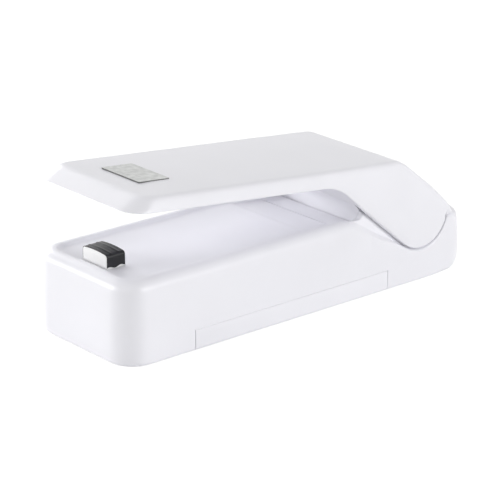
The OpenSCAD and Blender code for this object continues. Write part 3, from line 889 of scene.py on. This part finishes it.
def makeLabelPlate():
    low, high = nodeBox("label_plate")
    centre = (low + high) / 2
    tilt = math.atan(topSlope)
    halfX, halfY = label["size"][0] / 2, label["size"][1] / 2
    outline = []
    for cornerX, cornerY, start in ((1, 1, 0), (-1, 1, 90), (-1, -1, 180), (1, -1, 270)):
        for i in range(label["steps"] + 1):
            a = math.radians(start + 90 * i / label["steps"])
            outline.append((cornerX * (halfX - label["corner"]) + label["corner"] * math.cos(a),
                            cornerY * (halfY - label["corner"]) + label["corner"] * math.sin(a)))
    top = edgeHeight(centre.y) + arm["crown"] * 0.9 + label["proud"]
    levels = [(0.0, -label["thickness"]), (0.0, -label["edge"]), (label["edge"], 0.0)]
    points = []
    for inset, height in levels:
        for x, y in outline:
            u = x * (1 - inset / halfX)
            v = y * (1 - inset / halfY)
            points.append((u, centre.y + v * math.cos(tilt), top + height - v * math.sin(tilt)))
    count = len(outline)
    faces = [tuple(range(count)), tuple(range(2 * count, 3 * count))]
    for level in (0, 1):
        for i in range(count):
            j = (i + 1) % count
            a, b = level * count, (level + 1) * count
            faces.append((a + i, a + j, b + j, b + i))
    piece = newPiece("labelPlate", points, faces, "arm", "label", ["label_plate"], 30)
    dress(piece, "label")
    # the second material goes on the side faces as a painted shadow line where the plate sits on the arm
    piece.data.materials.append(labelGapShade)
    for face in piece.data.polygons:
        face.material_index = 0 if abs(face.normal.z) > 0.9 else 1


makeLabelPlate()
print("stage: label plate")


# heater block and the release tape over it; the two ridges are the heating wires under the tape
head = {"arch": 0.34, "archStart": 0.1, "corner": 0.7, "edge": 0.12, "flange": (16.7, 18.0),
        "tapeThickness": 0.16, "tapeLow": 20.15, "tapeColumns": 26, "wave": 0.2,
        "ridge": 0.13, "ridgeWidth": 0.26, "ridgeY": 1.1}


def archPath(half, top, foot, steps=14):
    # up one side, over the round corner and the arched top, and down the other side
    corner, start = head["corner"], head["archStart"]
    low = top - head["arch"]
    reach = half - corner
    rising = [Vector((half, foot))]
    rising += curveThrough(Vector((half, low - corner)), Vector((half, low)), Vector((reach, low + start)), 6)
    crown = []
    for i in range(1, steps):
        x = reach * (1 - 2 * i / steps)
        crown.append(Vector((x, low + start + (head["arch"] - start) * (1 - (x / reach) ** 2))))
    falling = [Vector((-p.x, p.y)) for p in reversed(rising)]
    return rising + crown + falling


def makeHeaterBlock():
    low, high = nodeBox("ptfe_tape")
    half = high.x - 0.25
    outline = [tuple(p) for p in archPath(half, blockHigh.z + 0.05, blockLow.z)]
    depth = (low.y - 0.1, high.y + 0.1)
    parts = [prism(outline, *depth, 1)]
    under, above = head["flange"]
    flange = [(blockLow.x, under), (blockHigh.x, under), (blockHigh.x, above), (blockLow.x, above)]
    parts.append(prism(flange, blockLow.y, blockHigh.y, 1))
    piece = newPiece("heaterBlock", *merged(parts), "sealing_head", "block", ["heater_block"])
    addBevel(piece, head["edge"], 2)
    dress(piece, "block")


def makeReleaseTape():
    low, high = nodeBox("ptfe_tape")
    path = archPath(high.x - 0.19, blockHigh.z + 0.11, head["tapeLow"], 20)
    middle = (low.y + high.y) / 2
    columns = head["tapeColumns"]
    points, rows = [], []
    for j in range(columns + 1):
        y = low.y + (high.y - low.y) * j / columns
        offsets = [(y - middle - s * head["ridgeY"]) / head["ridgeWidth"] for s in (-1, 1)]
        lift = sum(math.exp(-offset ** 2) for offset in offsets)
        row = []
        for k, spot in enumerate(path):
            z = spot.y + (lift * head["ridge"] if abs(spot.x) < high.x - 0.6 else 0)
            if k in (0, len(path) - 1):
                z += head["wave"] * math.sin(1.9 * (y - low.y) + (2.1 if k else 0.4))
            row.append(len(points))
            points.append((spot.x, y, z))
        rows.append(row)
    piece = newPiece("releaseTape", points, skinBetween(rows), "sealing_head", "tape", ["ptfe_tape"])
    solid = piece.modifiers.new("wall", "SOLIDIFY")
    solid.thickness = head["tapeThickness"] * mm
    solid.offset = 0
    keepModifiers(piece)
    dress(piece, "tape")


makeHeaterBlock()
makeReleaseTape()
print("stage: sealing head")


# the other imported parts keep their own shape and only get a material
shownNodes = {row["node"]: row["material_slot"] for row in frame["record"]["subparts"]}
replacedNodes = {"base_housing", "battery_door", "arm_shell", "arm_liner", "label_plate",
                 "heater_block", "ptfe_tape"}
for node, slot in shownNodes.items():
    if node not in replacedNodes:
        dress(frame["nodes"][node], slot)
print("stage: packed parts dressed")


# floor and light; each lamp has a name, a place, a size and a power
studio = {
    "floorSize": 3.0, "floorColour": 0.9, "floorLift": 0.46, "horizon": 0.0, "zenith": 0.62,
    "lamps": [("frontLamp", (-0.75, -1.0, 0.22), 0.7, 10.6), ("rightLamp", (1.2, 0.35, 0.4), 0.7, 8.6),
              ("leftLamp", (-1.2, 0.1, 0.45), 0.7, 6.0)],
}


def seenRays(tree):
    rays = tree.nodes.new("ShaderNodeLightPath")
    seen = mathNode(tree, "MAXIMUM", rays.outputs["Is Camera Ray"], rays.outputs["Is Glossy Ray"])
    return mathNode(tree, "MAXIMUM", seen, rays.outputs["Is Transmission Ray"])


def makeFloor():
    half = studio["floorSize"] / 2
    mesh = bpy.data.meshes.new("floor")
    corners = [(-half, -half, 0), (half, -half, 0), (half, half, 0), (-half, half, 0)]
    mesh.from_pydata(corners, [], [(0, 1, 2, 3)])
    floor = bpy.data.objects.new("floor", mesh)
    bpy.context.scene.collection.objects.link(floor)
    material = bpy.data.materials.new("paleFloor")
    material.use_nodes = True
    tree = material.node_tree
    tree.nodes.clear()
    plain = tree.nodes.new("ShaderNodeBsdfDiffuse")
    plain.inputs["Color"].default_value = (*[studio["floorColour"]] * 3, 1)
    glow = tree.nodes.new("ShaderNodeEmission")
    both = tree.nodes.new("ShaderNodeAddShader")
    out = tree.nodes.new("ShaderNodeOutputMaterial")
    tree.links.new(mathNode(tree, "MULTIPLY", seenRays(tree), studio["floorLift"]), glow.inputs["Strength"])
    tree.links.new(plain.outputs[0], both.inputs[0])
    tree.links.new(glow.outputs[0], both.inputs[1])
    tree.links.new(both.outputs[0], out.inputs[0])
    mesh.materials.append(material)


def makeWorld():
    world = bpy.data.worlds.new("studio")
    bpy.context.scene.world = world
    world.use_nodes = True
    tree = world.node_tree
    sky = tree.nodes["Background"]
    seen = seenRays(tree)
    place = tree.nodes.new("ShaderNodeTexCoord")
    split = tree.nodes.new("ShaderNodeSeparateXYZ")
    tree.links.new(place.outputs["Generated"], split.inputs[0])
    height = mathNode(tree, "ABSOLUTE", split.outputs["Z"])
    low, high = studio["horizon"], studio["zenith"]
    light = mathNode(tree, "MULTIPLY_ADD", height, high - low, low)
    hidden = mathNode(tree, "SUBTRACT", 1.0, seen)
    strength = mathNode(tree, "MULTIPLY_ADD", light, hidden, seen)
    sky.inputs["Color"].default_value = (1, 1, 1, 1)
    tree.links.new(strength, sky.inputs["Strength"])


def makeLamps():
    for name, place, size, power in studio["lamps"]:
        lamp = bpy.data.lights.new(name, "AREA")
        lamp.shape = "DISK"
        lamp.size = size
        lamp.energy = power
        holder = bpy.data.objects.new(name, lamp)
        holder.location = place
        holder.rotation_euler = (Vector((0, 0, 0.02)) - Vector(place)).to_track_quat("-Z", "Y").to_euler()
        bpy.context.scene.collection.objects.link(holder)


def makeCamera():
    view = {"azimuth": 49.82, "elevation": 20.01, "lens": 172.1, "place": (422.85, -359.49, 213.91)}
    camera = bpy.data.cameras.new("camera")
    camera.lens = view["lens"]
    camera.sensor_width = 36
    camera.clip_start = 0.01
    holder = bpy.data.objects.new("camera", camera)
    holder.location = Vector(view["place"]) * mm
    turn, lift = math.radians(view["azimuth"]), math.radians(view["elevation"])
    forward = Vector((-math.sin(turn) * math.cos(lift), math.cos(turn) * math.cos(lift), -math.sin(lift)))
    holder.rotation_euler = forward.to_track_quat("-Z", "Y").to_euler()
    bpy.context.scene.collection.objects.link(holder)
    bpy.context.scene.camera = holder


makeFloor()
makeWorld()
makeLamps()
makeCamera()
bpy.context.scene.view_settings.view_transform = "Standard"
print("stage: studio ready")
